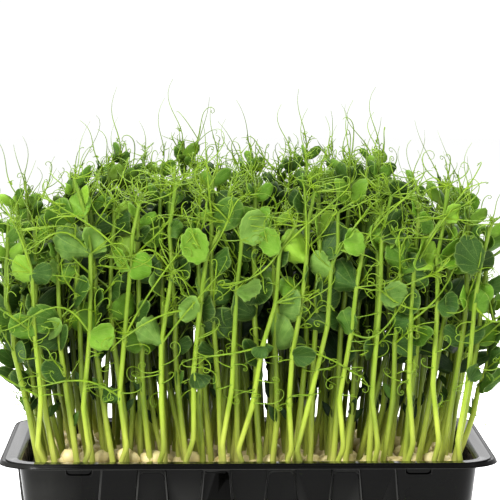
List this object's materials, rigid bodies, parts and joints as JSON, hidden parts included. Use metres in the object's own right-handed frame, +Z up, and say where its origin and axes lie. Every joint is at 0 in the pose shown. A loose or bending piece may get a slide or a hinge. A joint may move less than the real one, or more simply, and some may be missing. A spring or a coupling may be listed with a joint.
{
  "type": "pea shoot microgreens tray",
  "caption": "Dense stand of leafy pea shoots with curling tendrils, grown from peas on a mat of growing medium in a black ribbed tray.",
  "frame": {"origin": "middle of the tray's flat base, on the surface it stands on", "axes": "+Z up along the shoots; +X along the tray's long side; -Y towards the front"},
  "size_m": [0.2758, 0.1669, 0.246],
  "materials": {
    "black_plastic": "vacuum-formed black polypropylene sheet, smooth with a soft shine",
    "coir_and_peat": "matt, crumbly mat of brown coir fibre and peat",
    "leaf_green": "mid-green, softly waxy pea leaf and stem",
    "leaf_blue_green": "blue-green leaf with a waxy bloom",
    "leaf_light": "young yellow-green leaf and stem, let through by the light",
    "leaf_deep": "deep green leaf, satin"
  },
  "bodies": {
    "root": {"tray": "black_plastic", "growing_medium": "coir_and_peat", "shoots_01": "leaf_green", "shoots_02": "leaf_blue_green", "shoots_03": "leaf_light", "shoots_04": "leaf_deep", "shoots_05": "leaf_green", "shoots_06": "leaf_blue_green", "shoots_07": "leaf_light", "shoots_08": "leaf_deep", "shoots_09": "leaf_green", "shoots_10": "leaf_blue_green", "shoots_11": "leaf_light", "shoots_12": "leaf_deep", "shoots_13": "leaf_green", "shoots_14": "leaf_blue_green", "shoots_15": "leaf_light", "shoots_16": "leaf_deep", "shoots_17": "leaf_green", "shoots_18": "leaf_blue_green", "shoots_19": "leaf_light", "shoots_20": "leaf_deep", "shoots_21": "leaf_green", "shoots_22": "leaf_blue_green", "shoots_23": "leaf_light", "shoots_24": "leaf_deep", "shoots_25": "leaf_green", "shoots_26": "leaf_blue_green", "shoots_27": "leaf_light", "shoots_28": "leaf_deep", "shoots_29": "leaf_green", "shoots_30": "leaf_blue_green", "shoots_31": "leaf_light", "shoots_32": "leaf_deep", "shoots_33": "leaf_green", "shoots_34": "leaf_blue_green", "shoots_35": "leaf_light", "shoots_36": "leaf_deep", "shoots_37": "leaf_green", "shoots_38": "leaf_blue_green", "shoots_39": "leaf_light", "shoots_40": "leaf_deep", "shoots_41": "leaf_green", "shoots_42": "leaf_blue_green", "shoots_43": "leaf_light", "shoots_44": "leaf_deep", "shoots_45": "leaf_green", "shoots_46": "leaf_blue_green", "shoots_47": "leaf_light", "shoots_48": "leaf_deep", "shoots_49": "leaf_green", "shoots_50": "leaf_blue_green", "shoots_51": "leaf_light", "shoots_52": "leaf_deep", "shoots_53": "leaf_green", "shoots_54": "leaf_blue_green", "shoots_55": "leaf_light", "shoots_56": "leaf_deep", "shoots_57": "leaf_green"}
  },
  "joints": []
}
